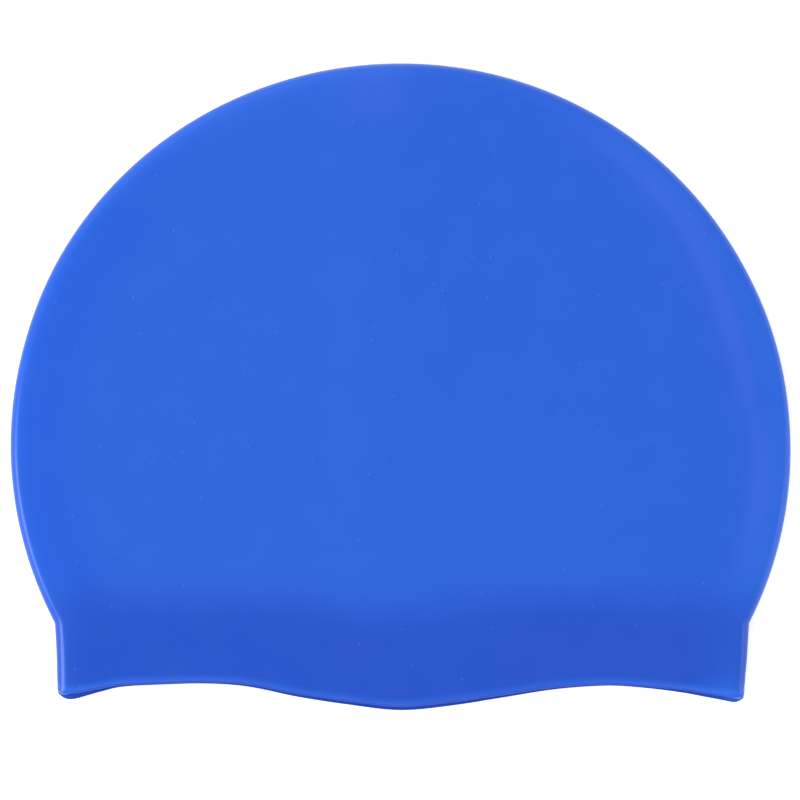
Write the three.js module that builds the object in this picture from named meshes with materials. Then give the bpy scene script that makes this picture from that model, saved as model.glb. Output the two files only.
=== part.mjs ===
// A swim cap moulded in one piece of silicone rubber, lying flat on a table as it rests by itself.
// It is a pouch of two layers. They are joined along the folded edge, which runs from one rim
// corner up over the crown and down to the other, and they are open along the wavy rim, where
// the head goes in. A straight-sided band runs round the opening, below a notch on each side.
//
// Millimetres. X runs across the cap, Y from the open rim up to the top of the crown, and Z up
// from the table. The origin is on the table, under the middle of the cap.

import * as THREE from "three";
import { mergeVertices } from "three/addons/utils/BufferGeometryUtils.js";

// The outline, seen from above. Lengths along Y are taken from the widest line.
const capWidth = 230; // across the widest line
const crownRise = 113; // up to the top of the crown
const flankHeight = 115; // vertical half axis of the ellipse that the flanks follow
const bandTop = 52; // down to the notches
const bandTaper = 1.5; // how far each side of the band leans in on its way to the rim
const rimDrop = 70.1; // down to the crests of the rim
const rimWave = 7.7; // from the crests down to the tip in the middle
const cornerRound = 1.5; // radius of the two rim corners
const lipRetreat = 1.4; // how far the upper lip lies back from the lower one, at most

// Heights above the table.
const foldLine = 6.2; // the outermost line of the folded edge
const foldTop = 9.2; // where the fold's tight bend ends, and the upper lip beside the corners
const lipSag = 0.6; // how much lower the lip is in its middle
const crownRim = 11.6; // the edge of the crown panel
const crownSag = 2.6; // how far the crown panel sinks towards its middle
const creaseDepth = 0.45; // the soft crease down the middle of the crown

// How far the rounded forms reach, seen from above.
const foldReach = 2.8; // the tight bend above the fold line
const underReach = 8; // the rounding under it
const shoulderReach = 21; // the shoulder from the fold up to the crown panel, at its widest
const bandSlope = 19; // the straight slope of the band, up from the lip
const bandEase = 13; // the bend from the band into the crown panel
const creaseReach = 18; // half the width of the soft crease
const creaseAside = 4.4; // how far the crease lies to the left of the middle

// Walls.
const wall = 1; // crown
const bandWall = 1.6; // band and lip
const lipRound = 0.5; // how far the rounded lip stands out past its two edges

// The rim from the left corner to the right one. across is a share of half the band's width,
// hang a share of rimWave below the crests, and retreat a share of lipRetreat.
const RIM = [
  { across: -1.0, hang: 0.62, retreat: 0.8 },
  { across: -0.91, hang: 0.38, retreat: 0.7 },
  { across: -0.8, hang: 0.12, retreat: 0.45 },
  { across: -0.61, hang: 0.0, retreat: 0.35 },
  { across: -0.45, hang: 0.1, retreat: 0.45 },
  { across: -0.3, hang: 0.48, retreat: 0.45 },
  { across: -0.15, hang: 0.82, retreat: 0.45 },
  { across: 0.0, hang: 1.0, retreat: 0.5 },
  { across: 0.15, hang: 0.83, retreat: 0.45 },
  { across: 0.31, hang: 0.49, retreat: 0.4 },
  { across: 0.47, hang: 0.19, retreat: 0.35 },
  { across: 0.62, hang: 0.06, retreat: 0.25 },
  { across: 0.8, hang: 0.29, retreat: 0.45 },
  { across: 0.91, hang: 0.5, retreat: 0.6 },
  { across: 1.0, hang: 0.74, retreat: 0.7 },
];

// The shoulder from the rim corners to the top of the crown. up is a share of crownRise above
// the widest line, and left and right are shares of shoulderReach.
const SHOULDER = [
  { up: -0.62, left: 0.45, right: 0.45 },
  { up: -0.5, left: 0.55, right: 0.5 },
  { up: -0.34, left: 0.8, right: 0.55 },
  { up: -0.1, left: 0.95, right: 0.62 },
  { up: 0.3, left: 1.0, right: 0.75 },
  { up: 0.7, left: 0.9, right: 0.58 },
  { up: 1.0, left: 0.8, right: 0.8 },
];

// How finely the surface is divided.
const crownSteps = 20; // along the edge, from the widest line to the top of the crown
const flankSteps = 6; // along the edge, from the widest line to a notch
const bandSteps = 4; // along the edge, from a notch to a rim corner
const roundSteps = 5; // over or under the fold line
const shoulderSteps = 3; // over the shoulder
const innerSteps = 8; // on to the middle

const silicone = new THREE.MeshStandardMaterial({
  color: 0x3366dc,
  roughness: 0.5,
  metalness: 0,
});

// Sizes that follow from the ones above.
const halfWidth = capWidth / 2;
const notchAngle = Math.asin(bandTop / flankHeight);
const notchHalf = halfWidth * Math.cos(notchAngle);
const cornerHalf = notchHalf - bandTaper;
const rimTip = rimDrop + rimWave;
const middleLine = (crownRise - rimTip) / 2;
const rows = flankSteps + bandSteps;
const { clamp, lerp, smoothstep } = THREE.MathUtils;

// A smooth curve through a table's rows: a function of the key column giving the value column.
function curveThrough(table, key, value) {
  const slopes = table.map((row, i) => {
    const before = table[Math.max(0, i - 1)];
    const after = table[Math.min(table.length - 1, i + 1)];
    return (after[value] - before[value]) / (after[key] - before[key]);
  });
  return (at) => {
    let i = 0;
    while (i < table.length - 2 && at > table[i + 1][key]) i += 1;
    const span = table[i + 1][key] - table[i][key];
    const t = clamp((at - table[i][key]) / span, 0, 1);
    const rest = 1 - t;
    return (
      table[i][value] * rest * rest * (1 + 2 * t) +
      slopes[i] * span * rest * rest * t +
      table[i + 1][value] * t * t * (3 - 2 * t) -
      slopes[i + 1] * span * t * t * rest
    );
  };
}

const hangAt = curveThrough(RIM, "across", "hang");
const retreatAt = curveThrough(RIM, "across", "retreat");
const leftReachAt = curveThrough(SHOULDER, "up", "left");
const rightReachAt = curveThrough(SHOULDER, "up", "right");

// A quarter ellipse's height over its width, both from 0 to 1.
function quarterRound(share) {
  const left = 1 - clamp(share, 0, 1);
  return Math.sqrt(1 - left * left);
}

// The lower lip along Y, for across from -1 at the left corner to 1 at the right one.
function lowerLip(across) {
  const fromCorner = cornerHalf * (1 - Math.abs(across));
  const rounding = cornerRound * (1 - quarterRound(fromCorner / cornerRound));
  return lipRound - rimDrop - rimWave * hangAt(across) + rounding;
}

// The upper lip leans back as it rises from the corners.
function upperLip(across) {
  const fromCorner = cornerHalf * (1 - Math.abs(across));
  return lowerLip(across) + lipRetreat * retreatAt(across) * quarterRound(fromCorner / foldLine);
}

// The line from notch to notch over the cap, which keeps the wave of the rim.
function notchLine(across) {
  const side = (across + 1) / 2;
  return -bandTop - rimWave * (hangAt(across) - lerp(hangAt(-1), hangAt(1), side));
}

// A point of one of the rows below the widest line, for across from -1 to 1.
function rowPoint(row, across, lip) {
  if (row > flankSteps) {
    const share = (row - flankSteps) / bandSteps;
    const x = across * lerp(notchHalf, cornerHalf, share);
    return new THREE.Vector2(x, lerp(notchLine(across), lip(across), share));
  }
  const angle = notchAngle * (row / flankSteps);
  const down = (flankHeight * Math.sin(angle)) / bandTop;
  return new THREE.Vector2(across * halfWidth * Math.cos(angle), down * notchLine(across));
}

// A point of the crown's edge, for along from 0 at the right end of the widest line to 1.
function crownPoint(along) {
  const angle = Math.PI * along;
  return new THREE.Vector2(halfWidth * Math.cos(angle), crownRise * Math.sin(angle));
}

// The folded edge seen from above, from the right rim corner over the crown to the left one.
const fold = [];
for (let row = rows; row > 0; row -= 1) fold.push(rowPoint(row, 1, lowerLip));
for (let k = 0; k <= 2 * crownSteps; k += 1) fold.push(crownPoint(k / (2 * crownSteps)));
for (let row = 1; row <= rows; row += 1) fold.push(rowPoint(row, -1, lowerLip));

// The distance from a point seen from above to the folded edge.
function foldDistance({ x, y }) {
  const point = new THREE.Vector2(x, y);
  const distances = fold.slice(1).map((end, i) => {
    const along = end.clone().sub(fold[i]);
    const offset = point.clone().sub(fold[i]);
    const share = clamp(offset.dot(along) / along.lengthSq(), 0, 1);
    return offset.sub(along.multiplyScalar(share)).length();
  });
  return Math.min(...distances);
}

// The distance up from the lower lip.
function lipDistance({ x, y }) {
  return y - lowerLip(clamp(x / cornerHalf, -1, 1));
}

// The width of the shoulder, which goes over smoothly from left to right.
function shoulderWidth({ x, y }) {
  const up = y / crownRise;
  const right = smoothstep(x, -halfWidth, halfWidth);
  return shoulderReach * lerp(leftReachAt(up), rightReachAt(up), right);
}

// A straight slope that bends level at its end: height from 0 to 1 over a run.
function ramp(run, slope, ease) {
  const on = clamp(run, 0, slope + ease);
  const bend = Math.max(0, on - slope) ** 2 / (2 * ease);
  return (on - bend) / (slope + ease / 2);
}

// How deep the crown panel lies below its edge. It sinks from both sides to a soft crease.
function crownDip({ x, y }) {
  const aside = x + creaseAside;
  const near = 1 - (Math.hypot(aside, creaseReach) - creaseReach) / halfWidth;
  const crease = creaseDepth * Math.exp(-((aside / creaseReach) ** 2));
  const fromTop = crownRise - y;
  return (
    crownSag * near * smoothstep(fromTop, 0, 2 * shoulderReach) +
    crease * smoothstep(fromTop, shoulderReach, 3 * shoulderReach)
  );
}

// The outer surface of the upper layer. From the folded edge it bends up tightly to the fold's
// top, and the shoulder and the band then climb on to the crown panel.
function upperHeight(point) {
  const distance = foldDistance(point);
  const width = shoulderWidth(point);
  const band = ramp(lipDistance(point), bandSlope, bandEase);
  const shoulder = ramp(distance, width / 2, width / 2);
  const sag = lipSag * (1 - band) * (1 - (point.x / cornerHalf) ** 2);
  const climb = band * shoulder * (crownRim - foldTop - crownDip(point));
  const top = foldTop - sag + climb;
  return lerp(foldLine, top, quarterRound(distance / foldReach));
}

// The outer surface of the lower layer, flat on the table inside the rounded edge.
function lowerHeight(point) {
  return foldLine * (1 - quarterRound(foldDistance(point) / underReach));
}

// Wall thickness, greater in the band.
function wallAt(point) {
  return lerp(bandWall, wall, ramp(lipDistance(point), bandSlope, bandEase));
}

// Shares of the way from the middle out to the edge, edge first: close together round the fold,
// then over the shoulder, then on to the middle, which is left out.
function sharesFrom(length, round, shoulder) {
  const distances = [];
  for (let k = 0; k < roundSteps; k += 1) {
    distances.push(round * (1 - Math.cos((Math.PI / 2) * (k / roundSteps))));
  }
  for (let k = 0; k < shoulderSteps; k += 1) {
    distances.push(lerp(round, shoulder, k / shoulderSteps));
  }
  for (let k = 0; k < innerSteps; k += 1) {
    distances.push(lerp(shoulder, length, k / innerSteps));
  }
  return distances.map((distance) => 1 - distance / length);
}

// The points of a layer: lines from the crown's edge to the middle of the widest line, and
// rows from right to left from the widest line down to the lip.
function layerNet({ round, heightAt, lip }) {
  const raise = (point) => new THREE.Vector3(point.x, point.y, heightAt(point));
  const middle = raise(new THREE.Vector2(0, 0));
  const lines = [];
  for (let k = 0; k <= 2 * crownSteps; k += 1) {
    const edge = crownPoint(k / (2 * crownSteps));
    const shares = sharesFrom(edge.length(), round, shoulderWidth(edge));
    lines.push([...shares.map((share) => raise(edge.clone().multiplyScalar(share))), middle]);
  }
  const across = [[...lines[0], ...lines[lines.length - 1].slice(0, -1).reverse()]];
  for (let row = 1; row <= rows; row += 1) {
    const side = (sign) => {
      const edge = rowPoint(row, sign, lip);
      const shares = sharesFrom(Math.abs(edge.x), round, shoulderWidth(edge));
      return shares.map((share) => raise(rowPoint(row, sign * share, lip)));
    };
    across.push([...side(1), raise(rowPoint(row, 0, lip)), ...side(-1).reverse()]);
  }
  return { lines, across };
}

// The triangles of a layer, as a flat list of corner points, seen the right way round from above.
function layerTriangles({ lines, across }) {
  const corners = [];
  const strip = (a, b) => {
    for (let k = 0; k < a.length - 1; k += 1) {
      corners.push(a[k], b[k], b[k + 1]);
      if (a[k + 1] !== b[k + 1]) corners.push(a[k], b[k + 1], a[k + 1]);
    }
  };
  for (let k = 0; k < lines.length - 1; k += 1) strip(lines[k], lines[k + 1]);
  for (let row = 0; row < rows; row += 1) strip(across[row + 1], across[row]);
  return corners;
}

// Edges with a face on one side only, each in the direction in which its face runs round.
function openEdges(index) {
  const edges = new Map();
  for (let i = 0; i < index.length; i += 1) {
    const from = index[i];
    const to = index[i % 3 === 2 ? i - 2 : i + 1];
    if (!edges.delete(`${to} ${from}`)) edges.set(`${from} ${to}`, [from, to]);
  }
  return [...edges.values()];
}

// The whole cap as one closed skin: outer surface, inner surface and the rounded lip.
function capGeometry() {
  const upper = layerTriangles(
    layerNet({ round: foldReach, heightAt: upperHeight, lip: upperLip }),
  );
  const lower = layerTriangles(
    layerNet({ round: underReach, heightAt: lowerHeight, lip: lowerLip }),
  );
  const outer = mergeVertices(
    new THREE.BufferGeometry().setFromPoints([...upper, ...lower.reverse()]),
  );
  outer.computeVertexNormals();

  // The inner surface is the outer one moved in along its normals by the wall.
  const index = [...outer.index.array];
  const skin = [];
  const inner = [];
  for (let i = 0; i < outer.attributes.position.count; i += 1) {
    const point = new THREE.Vector3().fromBufferAttribute(outer.attributes.position, i);
    const normal = new THREE.Vector3().fromBufferAttribute(outer.attributes.normal, i);
    skin.push(point);
    inner.push(point.clone().addScaledVector(normal, -wallAt(point)));
  }
  const innerAt = (i) => skin.length + i;
  const faces = [...index, ...index.map(innerAt).reverse()];

  // The lip joins their open edges, with a row of points that stands out between them.
  const lipAt = new Map();
  const middles = [];
  const rim = openEdges(index);
  rim.forEach(([i], k) => {
    lipAt.set(i, 2 * skin.length + k);
    middles.push(skin[i].clone().lerp(inner[i], 0.5).setY(skin[i].y - lipRound));
  });
  for (const [from, to] of rim) {
    faces.push(to, from, lipAt.get(from), to, lipAt.get(from), lipAt.get(to));
    faces.push(lipAt.get(to), lipAt.get(from), innerAt(from));
    faces.push(lipAt.get(to), innerAt(from), innerAt(to));
  }

  const geometry = new THREE.BufferGeometry().setFromPoints([...skin, ...inner, ...middles]);
  geometry.setIndex(faces);
  geometry.computeVertexNormals();
  return geometry;
}

const shell = new THREE.Mesh(capGeometry(), silicone);
shell.name = "cap_shell";
shell.position.y = -middleLine;

const cap = new THREE.Group();
cap.add(shell);

export default cap;
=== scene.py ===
import math

import bmesh
import bpy
import numpy as np
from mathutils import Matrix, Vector, noise


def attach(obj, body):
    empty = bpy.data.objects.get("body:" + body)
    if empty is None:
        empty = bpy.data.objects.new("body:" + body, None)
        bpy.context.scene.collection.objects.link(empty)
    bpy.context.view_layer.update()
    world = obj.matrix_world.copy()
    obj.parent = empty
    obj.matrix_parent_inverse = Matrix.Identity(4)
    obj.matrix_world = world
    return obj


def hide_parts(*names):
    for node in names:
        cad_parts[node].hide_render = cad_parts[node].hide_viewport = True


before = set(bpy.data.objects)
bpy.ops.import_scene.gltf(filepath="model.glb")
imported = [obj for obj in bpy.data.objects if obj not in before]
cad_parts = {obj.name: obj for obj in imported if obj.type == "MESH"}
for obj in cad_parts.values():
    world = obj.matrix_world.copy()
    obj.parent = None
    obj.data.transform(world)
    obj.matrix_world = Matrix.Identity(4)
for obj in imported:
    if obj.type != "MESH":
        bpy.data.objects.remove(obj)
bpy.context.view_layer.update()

# The cap's shell. The real one is moulded in one piece from pigmented silicone rubber, and lies
# flat as a pouch of two layers: joined along the folded edge, open along the wavy rim, with a
# straight-sided, thicker band round the opening. Lengths in this section are millimetres.
HALF_WIDTH = 115.0
CROWN_POWER = 2.015  # 2 makes an ellipse, more makes a fuller crown
CROWN_RISE = 113.3  # from the widest line up to the top
FLANK_HEIGHT = 113.5  # half the height of the ellipse that the flanks follow below it
BAND_TOP = 52.0  # from the widest line down to the side notches
BAND_TAPER = 1.1  # each side of the band leans in by this
RIM_DROP = 70.1  # from the widest line down to the rim's crests
RIM_WAVE = 7.7  # from the crests down to the tip in the middle
CORNER_ROUND = 3.0
LIP_RETREAT = 3.1  # the upper lip lies back by shares of this
LEAN_ASIDE = 0.42  # the outline leans aside by shares of this

# Heights above the table, and how deep the crown panel and its crease lie below their edge.
FOLD_LINE = 6.2  # the folded edge, where the two layers meet
FOLD_TOP = 9.2  # just inside that edge
LIP_SAG = 0.6  # the middle of the upper lip hangs lower by this
CROWN_RIM = 11.6
CROWN_SAG = 2.6
CREASE_DEPTH = 0.45

# How far in each form reaches.
FOLD_REACH = 2.8
BAND_FOLD = 1.6  # the thicker band folds in a bend that reaches this much further in
UNDER_REACH = 8.0  # the lower layer's rounder bend
SHOULDER_REACH = 21.0
BAND_SLOPE = 19.0  # the band's straight slope up from the lip
BAND_EASE = 13.0  # and where it levels out into the crown panel
CREASE_REACH = 18.0
CREASE_ASIDE = 4.4  # the crease lies this far left of the middle

WALL = 1.0
BAND_WALL = 1.6
LIP_ROUND = 0.5
LIP_SEGMENTS = 4
LIP_ROLL = 2.0  # the lip's outer edge bends down over this width
LIP_DROP = 0.7

# across the band, hang below the crests as a share of the wave, share of the lip's retreat
RIM = np.array([
    (-1.0, 0.47, 0.5), (-0.95, 0.53, 0.55), (-0.88, 0.3, 0.36), (-0.82, 0.11, 0.24),
    (-0.7, 0.02, 0.17), (-0.57, -0.02, 0.2), (-0.45, 0.09, 0.27), (-0.3, 0.49, 0.36),
    (-0.15, 0.79, 0.4), (0.0, 1.0, 0.42), (0.15, 0.82, 0.4), (0.3, 0.51, 0.33),
    (0.45, 0.2, 0.25), (0.6, 0.06, 0.19), (0.7, 0.13, 0.2), (0.82, 0.32, 0.3),
    (0.93, 0.58, 0.42), (1.0, 0.65, 0.42),
])
# up the crown as a share of its rise, share of the lean, with right as positive
LEAN = np.array([
    (-0.69, 0.0), (-0.6, 0.4), (-0.55, 0.85), (-0.46, 1.0), (-0.25, 0.55), (0.0, 0.0), (0.3, -0.3),
    (0.5, -1.0), (0.85, -0.8), (1.0, 0.0),
])
# up the crown as a share of its rise, shares of the shoulder's reach on the left and the right
SHOULDER = np.array([
    (-0.62, 0.45, 0.45), (-0.5, 0.55, 0.5), (-0.34, 0.8, 0.55), (-0.1, 0.95, 0.62),
    (0.3, 1.0, 0.75), (0.7, 0.9, 0.58), (1.0, 0.8, 0.8),
])

NOTCH_ANGLE = math.asin(BAND_TOP / FLANK_HEIGHT)
NOTCH_HALF = HALF_WIDTH * math.cos(NOTCH_ANGLE)
CORNER_HALF = NOTCH_HALF - BAND_TAPER
MIDDLE_LINE = (CROWN_RISE - RIM_DROP - RIM_WAVE) / 2
FLANK_SHARE = 2 / 3  # of the rows below the widest line
ROW_SQUEEZE = 1.7  # draws the band's rows together towards the lip
NOT_ZERO = 1e-9  # takes the place of zero, which nothing can be divided by


def smooth_curve(table, column, at):
    """A smooth curve through a table's rows, from its first column to another."""
    keys, values = table[:, 0], table[:, column]
    slopes = np.empty_like(values)
    slopes[1:-1] = (values[2:] - values[:-2]) / (keys[2:] - keys[:-2])
    slopes[0] = (values[1] - values[0]) / (keys[1] - keys[0])
    slopes[-1] = (values[-1] - values[-2]) / (keys[-1] - keys[-2])
    i = np.clip(np.searchsorted(keys, at, side="left") - 1, 0, len(keys) - 2)
    span = keys[i + 1] - keys[i]
    t = np.clip((at - keys[i]) / span, 0, 1)
    rest = 1 - t
    return (values[i] * rest * rest * (1 + 2 * t) + slopes[i] * span * rest * rest * t
            + values[i + 1] * t * t * (3 - 2 * t) - slopes[i + 1] * span * t * t * rest)


def smooth_step(low, high, at):
    """0 up to the low value, 1 from the high one on, and a smooth rise between them."""
    t = np.clip((at - low) / (high - low), 0, 1)
    return t * t * (3 - 2 * t)


def bell(away, width):
    """1 at a distance of zero, fading out on both sides."""
    return np.exp(-(away / width) ** 2)


def quarter_round(share):
    """A quarter ellipse's height over its width, both from 0 to 1."""
    left = 1 - np.clip(share, 0, 1)
    return np.sqrt(1 - left * left)


def ramp(run, slope, ease):
    """A straight slope that bends level at its end: height from 0 to 1 over a run."""
    on = np.clip(run, 0, slope + ease)
    return (on - np.maximum(0, on - slope) ** 2 / (2 * ease)) / (slope + ease / 2)


def lower_lip(across):
    from_corner = CORNER_HALF * (1 - np.abs(across))
    rounding = CORNER_ROUND * (1 - quarter_round(from_corner / CORNER_ROUND))
    return -RIM_DROP - RIM_WAVE * smooth_curve(RIM, 1, across) + rounding


def upper_lip(across):
    raised = quarter_round(CORNER_HALF * (1 - np.abs(across)) / FOLD_LINE)
    return lower_lip(across) + LIP_RETREAT * smooth_curve(RIM, 2, across) * raised


def above_lip(lip, x, y):
    """How far a place lies up from one of the two lips."""
    return y - lip(np.clip(x / CORNER_HALF, -1, 1))


def outline_place(u, v, lip):
    """The template is a half disc above a rectangle. Its point (u, v) gets its place on the cap."""
    down = np.clip(-v, 0, 1)
    left_end, right_end = smooth_curve(RIM, 1, np.array([-1.0, 1.0]))
    wave = smooth_curve(RIM, 1, u) - left_end - (right_end - left_end) * (u + 1) / 2
    notch_line = -BAND_TOP - RIM_WAVE * wave
    angle = NOTCH_ANGLE * np.clip(down / FLANK_SHARE, 0, 1)
    band = 1 - (1 - np.clip((down - FLANK_SHARE) / (1 - FLANK_SHARE), 0, 1)) ** ROW_SQUEEZE
    flank_y = notch_line * FLANK_HEIGHT * np.sin(angle) / BAND_TOP
    rise = np.clip(v, NOT_ZERO, 1)
    power = (np.abs(u) ** CROWN_POWER + rise ** CROWN_POWER) ** (1 / CROWN_POWER)
    fuller = np.hypot(u, v) / power
    x = u * np.where(v > 0, HALF_WIDTH * fuller, HALF_WIDTH * np.cos(angle) - BAND_TAPER * band)
    y = np.where(v > 0, CROWN_RISE * v * fuller, flank_y + (lip(u) - notch_line) * band)
    return x + LEAN_ASIDE * smooth_curve(LEAN, 1, y / CROWN_RISE), y


# The folded edge seen from above, as a fine chain of points that distances are taken from.
SIDE_POINTS, CROWN_POINTS = 89, 361
down = np.linspace(1, 0, SIDE_POINTS + 1)[:-1]
round_crown = np.linspace(0, math.pi, CROWN_POINTS)
side = np.ones(SIDE_POINTS)
chain_u = np.concatenate([side, np.cos(round_crown), -side])
chain_v = np.concatenate([-down, np.sin(round_crown), -down[::-1]])
fold = np.stack(outline_place(chain_u, chain_v, lower_lip), axis=1)


def fold_distance(x, y):
    along = fold[1:] - fold[:-1]
    away_x = x[:, None] - fold[:-1, 0]
    away_y = y[:, None] - fold[:-1, 1]
    share = (away_x * along[:, 0] + away_y * along[:, 1]) / (along ** 2).sum(axis=1)
    share = np.clip(share, 0, 1)
    return np.hypot(away_x - share * along[:, 0], away_y - share * along[:, 1]).min(axis=1)


def panel_share(x, y):
    """0 at the lip, 1 from the edge of the crown panel on."""
    return ramp(above_lip(lower_lip, x, y), BAND_SLOPE, BAND_EASE)


def crown_dip(x, y):
    """How deep the crown panel lies below its edge. It sinks from both sides to a soft crease."""
    aside = x + CREASE_ASIDE
    near = 1 - (np.hypot(aside, CREASE_REACH) - CREASE_REACH) / HALF_WIDTH
    crease = CREASE_DEPTH * bell(aside, CREASE_REACH)
    from_top = CROWN_RISE - y
    return (CROWN_SAG * near * smooth_step(0, 2 * SHOULDER_REACH, from_top)
            + crease * smooth_step(SHOULDER_REACH, 3 * SHOULDER_REACH, from_top))


def upper_height(x, y):
    """The upper layer: a tight bend at the fold, then shoulder and band up to the crown panel."""
    up = y / CROWN_RISE
    left_reach = smooth_curve(SHOULDER, 1, up)
    right_reach = smooth_curve(SHOULDER, 2, up)
    reach = left_reach + (right_reach - left_reach) * smooth_step(-HALF_WIDTH, HALF_WIDTH, x)
    distance = fold_distance(x, y)
    panel = panel_share(x, y)
    shoulder = ramp(distance, SHOULDER_REACH * reach / 2, SHOULDER_REACH * reach / 2)
    sag = LIP_SAG * (1 - panel) * (1 - (x / CORNER_HALF) ** 2)
    top = FOLD_TOP - sag + panel * shoulder * (CROWN_RIM - FOLD_TOP - crown_dip(x, y))
    bend = FOLD_REACH + BAND_FOLD * (1 - panel)
    return FOLD_LINE + (top - FOLD_LINE) * quarter_round(distance / bend)


def lower_height(x, y):
    """The lower layer: flat on the table, and rounded up to the fold."""
    return FOLD_LINE * (1 - quarter_round(fold_distance(x, y) / UNDER_REACH))


# The template: one line of points, dense round the fold, spun round half a turn for the crown,
# and its diameter then drawn down in rows to the rim. A copy of it makes the lower layer.
FOLD_STEPS, SHOULDER_STEPS, MIDDLE_STEPS = 14, 14, 36
TURN_STEPS, ROWS = 120, 60
TEMPLATE_MERGE, TEMPLATE_SLACK = 1e-6, 1e-5
shell = bmesh.new()
distances = [UNDER_REACH * (1 - math.cos(math.pi / 2 * k / FOLD_STEPS)) for k in range(FOLD_STEPS)]
distances += list(np.linspace(UNDER_REACH, SHOULDER_REACH, SHOULDER_STEPS, endpoint=False))
distances += list(np.linspace(SHOULDER_REACH, HALF_WIDTH, MIDDLE_STEPS + 1))
line = [shell.verts.new((1 - distance / HALF_WIDTH, 0, 0)) for distance in distances]
joins = [shell.edges.new(pair) for pair in zip(line, line[1:])]
bmesh.ops.spin(shell, geom=line + joins, cent=(0, 0, 0), axis=(0, 0, 1), dvec=(0, 0, 0),
               angle=math.pi, steps=TURN_STEPS, use_merge=False, use_duplicate=False)
bmesh.ops.remove_doubles(shell, verts=shell.verts, dist=TEMPLATE_MERGE)
for vert in shell.verts:
    if abs(vert.co.y) < TEMPLATE_SLACK:
        vert.co.y = 0
ends = [v for v in shell.verts if v.co.y == 0]
diameter = [e for e in shell.edges if e.verts[0].co.y == 0 and e.verts[1].co.y == 0]
bmesh.ops.spin(shell, geom=ends + diameter, cent=(0, 0, 0), axis=(0, 0, 1), dvec=(0, -1 / ROWS, 0),
               angle=0, steps=ROWS, use_merge=False, use_duplicate=False)
bmesh.ops.recalc_face_normals(shell, faces=shell.faces)
if sum(f.normal.z for f in shell.faces) < 0:
    bmesh.ops.reverse_faces(shell, faces=shell.faces)

# Both layers bend so steeply at the edge that its points would miss each other, so the edge is
# put exactly on the fold line, where the two layers then merge.
SKIN_MERGE = 0.004
upper = list(shell.verts)
copied = bmesh.ops.duplicate(shell, geom=shell.verts[:] + shell.edges[:] + shell.faces[:])["geom"]
lower = [item for item in copied if isinstance(item, bmesh.types.BMVert)]
bmesh.ops.reverse_faces(shell, faces=[f for f in copied if isinstance(f, bmesh.types.BMFace)])
for verts, lip, height in ((upper, upper_lip, upper_height), (lower, lower_lip, lower_height)):
    u, v = np.array([vert.co[:2] for vert in verts]).T
    x, y = outline_place(u, v, lip)
    on_fold = np.where(v > 0, np.hypot(u, v), np.abs(u)) > 1 - TEMPLATE_SLACK
    z = np.where(on_fold, FOLD_LINE, height(x, y))
    for vert, place in zip(verts, zip(x, y, z)):
        vert.co = place
bmesh.ops.remove_doubles(shell, verts=shell.verts, dist=SKIN_MERGE)

# Soft, shallow dents, as thin rubber has when it lies by itself: wide ones with smaller ones on
# them, which grow from nothing at the fold line.
DENT_WIDTH, DENT_DEPTH = 34, 0.10
SMALL_DENT_WIDTH, SMALL_DENT_DEPTH = 15, 0.03
SMALL_DENT_SHIFT = Vector((7, 3, 1))
DENT_GROWTH = 6  # the height above the fold line at which they would be fully deep
for vert in shell.verts:
    if vert.co.z > FOLD_LINE:
        wide = noise.noise(vert.co / DENT_WIDTH) * DENT_DEPTH
        small = noise.noise(vert.co / SMALL_DENT_WIDTH + SMALL_DENT_SHIFT) * SMALL_DENT_DEPTH
        vert.co.z += (wide + small) * min(1, (vert.co.z - FOLD_LINE) / DENT_GROWTH)

# The wall: the skin is copied inwards along its normals, thicker in the band, the two are joined
# round the mouth, and the lip's two edges are rounded.
shell.normal_update()
rim = [e for e in shell.edges if e.is_boundary]
outer = list(shell.verts)
x, y = np.array([vert.co[:2] for vert in outer]).T
walls = BAND_WALL + (WALL - BAND_WALL) * panel_share(x, y)
moves = [vert.normal * -wall for vert, wall in zip(outer, walls)]
result = bmesh.ops.duplicate(shell, geom=shell.verts[:] + shell.edges[:] + shell.faces[:])
for vert, move in zip(outer, moves):
    result["vert_map"][vert].co = vert.co + move
inner_faces = [f for f in result["geom"] if isinstance(f, bmesh.types.BMFace)]
bmesh.ops.reverse_faces(shell, faces=inner_faces)
inner_rim = [e for e in result["geom"] if isinstance(e, bmesh.types.BMEdge) and e.is_boundary]
for vert, share in zip(outer, above_lip(upper_lip, x, y) / LIP_ROLL):
    if vert.co.z > FOLD_LINE:
        vert.co.z -= LIP_DROP * (1 - quarter_round(share))
bmesh.ops.bridge_loops(shell, edges=rim + inner_rim)
bmesh.ops.bevel(shell, geom=rim + inner_rim, offset=LIP_ROUND, offset_type="OFFSET",
                segments=LIP_SEGMENTS, profile=0.5, affect="EDGES", material=-1,
                clamp_overlap=True)

# Soft differences in colour, kept with the vertices as shares. The first is painted shade on the
# band, which slopes down to the lip and is drawn a deeper blue. Its upper edge is blurred, and dips
# where the crease meets it.
BAND_LINE, BAND_DIP, BAND_BLUR = -45.0, 4.5, 8.5
x, y = np.array([vert.co[:2] for vert in shell.verts]).T
up = y / CROWN_RISE
distance = fold_distance(x, y)
band_line = BAND_LINE - BAND_DIP * bell(x + CREASE_ASIDE, CREASE_REACH)
band = 1 - smooth_step(band_line - BAND_BLUR, band_line + BAND_BLUR, y)
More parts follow.
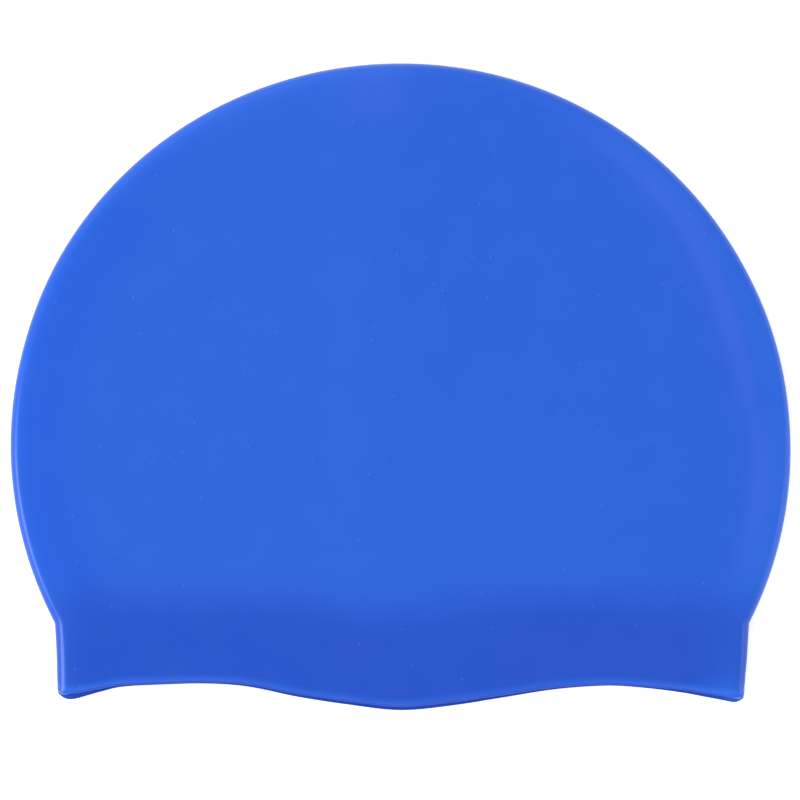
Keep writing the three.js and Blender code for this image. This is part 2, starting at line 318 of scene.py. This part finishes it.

# Painted light on the crown panel: it is drawn paler, most left of the crease, on the slope down to
# the crease, and in a patch low on the right. Low on the left, a margin along the fold is left out,
# which reads as painted shade.
PAINTED_LIGHT_ALL, PAINTED_LIGHT_LEFT, PAINTED_LIGHT_SLOPE, PAINTED_LIGHT_PATCH = 0.04, 0.045, 0.025, 0.035
LEFT_BLUR = 16.0
MARGIN = 11, 24  # from the fold
MARGIN_CLOSES_RIGHT = -40, 40
MARGIN_CLOSES_UP = 0.5, 0.9  # as shares of the crown's rise
SLOPE_MIDDLE, SLOPE_WIDTH = -16, 8
SLOPE_ENDS_UP = 45, 75
PATCH_X, PATCH_Y, PATCH_WIDTH = 36, -18, 32
left = 1 - smooth_step(-CREASE_ASIDE - LEFT_BLUR, -CREASE_ASIDE + LEFT_BLUR, x)
closed = np.maximum(smooth_step(*MARGIN_CLOSES_RIGHT, x), smooth_step(*MARGIN_CLOSES_UP, up))
inside = smooth_step(*MARGIN, distance)
inside = inside + (1 - inside) * closed
slope = bell(x - SLOPE_MIDDLE, SLOPE_WIDTH) * (1 - smooth_step(*SLOPE_ENDS_UP, y))
patch = bell(np.hypot(x - PATCH_X, y - PATCH_Y), PATCH_WIDTH)
painted_light = (PAINTED_LIGHT_ALL + PAINTED_LIGHT_LEFT * left + PAINTED_LIGHT_SLOPE * slope + PAINTED_LIGHT_PATCH * patch) * inside

# Painted light and painted highlight: the rubber is drawn paler along the fold, in a wider streak
# on the right, and along the lip, most of all at its corners.
EDGE_FADE, RIGHT_FADE = 4.2, 8.5
FADE_WIDENS = 20, 70
RIGHT_SIDE = 40, 80
EDGE_START, EDGE_FULL, RIGHT_FULL = 0.2, 2.2, 1.0  # from the fold
BAND_LESS, LEFT_MORE, RIGHT_MORE = 0.3, 0.1, 0.35
RIGHT_ENDS_UP = 0.2, 0.6  # as shares of the crown's rise
LIP_LINE, LIP_LINE_WIDTH = 1.3, 0.9  # from the upper lip
CORNERS_MORE, CORNERS_POWER = 0.9, 3
GLOW, GLOW_LINE, GLOW_WIDTH = 0.6, 2.8, 2.0  # at the right corner, from the upper lip
GLOW_STARTS = 0.8, 0.95  # across the band
right = smooth_step(*RIGHT_SIDE, x)
fade = EDGE_FADE + (RIGHT_FADE - EDGE_FADE) * smooth_step(*FADE_WIDENS, x)
full = EDGE_FULL + (RIGHT_FULL - EDGE_FULL) * right
low_right = right * (1 - smooth_step(*RIGHT_ENDS_UP, up))
painted_edge_light = bell(distance, fade) * smooth_step(EDGE_START, full, distance)
painted_edge_light *= (1 - BAND_LESS * band) * (1 + LEFT_MORE * left + RIGHT_MORE * low_right)
across = x / CORNER_HALF
from_lip = above_lip(upper_lip, x, y)
at_corners = 1 + CORNERS_MORE * np.abs(across) ** CORNERS_POWER
painted_edge_light += bell(from_lip - LIP_LINE, LIP_LINE_WIDTH) * at_corners
painted_edge_light += GLOW * bell(from_lip - GLOW_LINE, GLOW_WIDTH) * smooth_step(*GLOW_STARTS, across)

# A painted highlight: a pale streak on the right shoulder, and a little painted light just inside
# the fold at the top.
STREAK_WIDTH = 3.8
STREAK_STARTS = 30, 50
TOP_HIGHLIGHT, TOP_HIGHLIGHT_MIDDLE, TOP_HIGHLIGHT_WIDTH = 0.8, -6, 10
TOP_HIGHLIGHT_ENDS = 10, 20  # from the fold
TOP_HIGHLIGHT_GROWS_UP = 0, 60
# up the crown as a share of its rise, the streak's distance from the fold, how strong the highlight
# is
HIGHLIGHT_STREAK = np.array([
    (-0.4, 8.0, 0.0), (-0.28, 8.0, 0.6), (-0.14, 9.0, 1.0), (0.0, 9.5, 0.8), (0.12, 11.5, 0.7),
    (0.3, 12.0, 1.0), (0.48, 9.5, 1.0), (0.6, 7.5, 1.0), (0.75, 6.5, 0.8), (0.87, 6.0, 0.0),
])
painted_highlight = smooth_curve(HIGHLIGHT_STREAK, 2, up) * bell(distance - smooth_curve(HIGHLIGHT_STREAK, 1, up), STREAK_WIDTH)
painted_highlight *= smooth_step(*STREAK_STARTS, x)
at_top = (1 - smooth_step(*TOP_HIGHLIGHT_ENDS, distance)) * smooth_step(*TOP_HIGHLIGHT_GROWS_UP, y)
painted_highlight += TOP_HIGHLIGHT * bell(x - TOP_HIGHLIGHT_MIDDLE, TOP_HIGHLIGHT_WIDTH) * at_top
for name, values in (("band", band), ("painted_light", painted_light), ("painted_edge_light", painted_edge_light), ("painted_highlight", painted_highlight)):
    layer = shell.verts.layers.float.new(name)
    for vert, value in zip(shell.verts, values):
        vert[layer] = value

# The shell goes into the frame: in metres, with the middle of its outline over the origin.
MM = 0.001
bmesh.ops.translate(shell, verts=shell.verts, vec=(0, -MIDDLE_LINE, 0))
bmesh.ops.scale(shell, verts=shell.verts, vec=(MM, MM, MM))
for face in shell.faces:
    face.smooth = True
shell_mesh = bpy.data.meshes.new("cap_skin")
shell.to_mesh(shell_mesh)
shell.free()
cap = bpy.data.objects.new("moulded_cap", shell_mesh)
bpy.context.collection.objects.link(cap)


def linear(hex_code):
    """An sRGB hex colour as linear light, with alpha."""
    parts = [int(hex_code[i:i + 2], 16) / 255 for i in (1, 3, 5)]
    return (*[p / 12.92 if p <= 0.04045 else ((p + 0.055) / 1.055) ** 2.4 for p in parts], 1)


def add_node(tree, kind, settings=None, links=None):
    """A shader node with its settings, its inputs' values and its inputs' links."""
    node = tree.nodes.new(kind)
    for name, value in (settings or {}).items():
        if isinstance(name, str) and hasattr(node, name):
            setattr(node, name, value)
        else:
            node.inputs[name].default_value = value
    for name, source in (links or {}).items():
        tree.links.new(source, node.inputs[name])
    return node


# Silicone rubber, pigmented through and moulded against finely blasted steel. The finish is
# satin: a lamp shows as a soft, wide sheen, and the colour stays deep wherever none does.
silicone = bpy.data.materials.new("moulded_silicone")
silicone.use_nodes = True
tree = silicone.node_tree
tree.nodes.clear()


def share_of(name):
    return add_node(tree, "ShaderNodeAttribute", {"attribute_name": name}).outputs["Fac"]


def mixed(factor, first, second):
    """One colour going over into another. A colour is a hex code or another node's output."""
    node = add_node(tree, "ShaderNodeMix", {"data_type": "RGBA"}, {"Factor": factor})
    for name, colour in (("A", first), ("B", second)):
        if isinstance(colour, str):
            node.inputs[name].default_value = linear(colour)
        else:
            tree.links.new(colour, node.inputs[name])
    return node.outputs["Result"]


EDGE_LIGHT_SHARE = 0.17
# Painted light: a paler blue where the crown panel is drawn as lit.
rubber = mixed(share_of("painted_light"), "#1053cc", "#4a88ec")
# Painted shade: a deeper blue on the band.
rubber = mixed(share_of("band"), rubber, "#0c48be")
# Painted highlight: the streak on the right shoulder and the patch at the top.
rubber = mixed(share_of("painted_highlight"), rubber, "#2a5cd2")
# Painted light and highlight along the fold and the lip.
paler = add_node(tree, "ShaderNodeMath", {"operation": "MULTIPLY", 1: EDGE_LIGHT_SHARE},
                 {0: share_of("painted_edge_light")})
rubber = mixed(paler.outputs[0], rubber, "#2a80ff")

# Pigment that isn't stirred in quite evenly shows as faint clouds 12 mm across. Dust clings to
# the soft rubber: specks 5.5 mm apart in space, of which the few at the surface show. The grain
# of the mould is about 0.1 mm, too fine to show, and is drawn at 0.8 mm.
CLOUD, SPECK_SPACING, SPECK, GRAIN = 12 * MM, 5.5 * MM, 0.18 * MM, 0.8 * MM
CLOUD_SHARE, SPECK_SHARE = 0.02, 0.17
SPECK_EDGE = 1.6  # a speck is gone at this many times its radius
GRAIN_DEPTH = 0.04 * MM
place = add_node(tree, "ShaderNodeTexCoord").outputs["Object"]
clouds = add_node(tree, "ShaderNodeTexNoise", {"Scale": 1 / CLOUD, "Detail": 3.0},
                  {"Vector": place})
cloudy = add_node(tree, "ShaderNodeMapRange",
                  {"From Min": 0.4, "From Max": 0.7, "To Max": CLOUD_SHARE},
                  {"Value": clouds.outputs["Fac"]})
rubber = mixed(cloudy.outputs["Result"], rubber, "#5a93f2")
dust = add_node(tree, "ShaderNodeTexVoronoi", {"Scale": 1 / SPECK_SPACING}, {"Vector": place})
specks = add_node(tree, "ShaderNodeMapRange",
                  {"From Min": SPECK / SPECK_SPACING,
                   "From Max": SPECK_EDGE * SPECK / SPECK_SPACING,
                   "To Min": SPECK_SHARE, "To Max": 0.0},
                  {"Value": dust.outputs["Distance"]})
rubber = mixed(specks.outputs["Result"], rubber, "#9ac0ff")
grain = add_node(tree, "ShaderNodeTexNoise", {"Scale": 1 / GRAIN, "Detail": 2.0}, {"Vector": place})
bumps = add_node(tree, "ShaderNodeBump", {"Strength": 0.12, "Distance": GRAIN_DEPTH},
                 {"Height": grain.outputs["Fac"]})
shader = add_node(tree, "ShaderNodeBsdfPrincipled",
                  {"Roughness": 0.29, "IOR": 1.41, "Specular IOR Level": 0.44},
                  {"Base Color": rubber, "Normal": bumps.outputs["Normal"]})
add_node(tree, "ShaderNodeOutputMaterial", links={"Surface": shader.outputs["BSDF"]})
shell_mesh.materials.append(silicone)

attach(cap, "root")
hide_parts("cap_shell")

# The table: a plain sweep of white paper. Uncoated paper is matt, so no lamp shows in it. It
# glows a little by itself, which keeps it white right up to the cap. Metres from here on.
TABLE_HALF = 3.0
table = bmesh.new()
bmesh.ops.create_grid(table, x_segments=1, y_segments=1, size=TABLE_HALF)
table_mesh = bpy.data.meshes.new("table")
table.to_mesh(table_mesh)
table.free()
floor = bpy.data.objects.new("table", table_mesh)
bpy.context.collection.objects.link(floor)
paper = bpy.data.materials.new("white_paper")
paper.use_nodes = True
finish = paper.node_tree.nodes["Principled BSDF"].inputs
for name, value in (
    ("Base Color", linear("#f4f4f4")),
    ("Roughness", 0.9),
    ("Specular IOR Level", 0.1),
    ("Emission Color", linear("#ffffff")),
    ("Emission Strength", 0.45),
):
    finish[name].default_value = value
table_mesh.materials.append(paper)

# The light: a white room that is bright all round, as in a light tent, with four round or oval
# softboxes about the cap. Azimuth 0 is beyond the top of the crown, and 90 on the right.
LAMP_AWAY = 2.0


def softbox(name, azimuth, elevation, width, height, watts):
    light = bpy.data.lights.new(name, "AREA")
    light.shape = "ELLIPSE"
    light.size = width
    light.size_y = height
    light.energy = watts
    lamp = bpy.data.objects.new(name, light)
    turn, rise = math.radians(azimuth), math.radians(elevation)
    level = math.cos(rise)
    way = Vector((math.sin(turn) * level, math.cos(turn) * level, math.sin(rise)))
    lamp.location = way * LAMP_AWAY
    lamp.rotation_euler = (-lamp.location).to_track_quat("-Z", "Y").to_euler()
    bpy.context.collection.objects.link(lamp)


softbox("upper_left", 325, 35, 2.0, 2.0, 6.0)
softbox("right_low", 100, 15, 0.6, 0.6, 2.2)
softbox("left_low", 260, 27, 1.0, 0.85, 17.5)
softbox("front", 183, 48, 0.5, 0.5, 2.0)
world = bpy.data.worlds.new("room")
world.use_nodes = True
world.node_tree.nodes["Background"].inputs["Color"].default_value = linear("#ffffff")
world.node_tree.nodes["Background"].inputs["Strength"].default_value = 0.84
bpy.context.scene.world = world
bpy.context.scene.view_settings.view_transform = "Standard"

# The camera looks almost straight down from well above, so that the cap shows undistorted. The
# target is the spot in the middle of the picture.
CAMERA_AWAY = 1.2
CAMERA_TILT = math.radians(88.5)
lens = bpy.data.cameras.new("camera")
lens.lens = 182.9
lens.sensor_width = 36
camera = bpy.data.objects.new("camera", lens)
target = Vector((-0.00017, -0.00395, 0.005))
camera.location = target + Vector((0, -math.cos(CAMERA_TILT), math.sin(CAMERA_TILT))) * CAMERA_AWAY
camera.rotation_euler = (target - camera.location).to_track_quat("-Z", "Y").to_euler()
bpy.context.collection.objects.link(camera)
bpy.context.scene.camera = camera
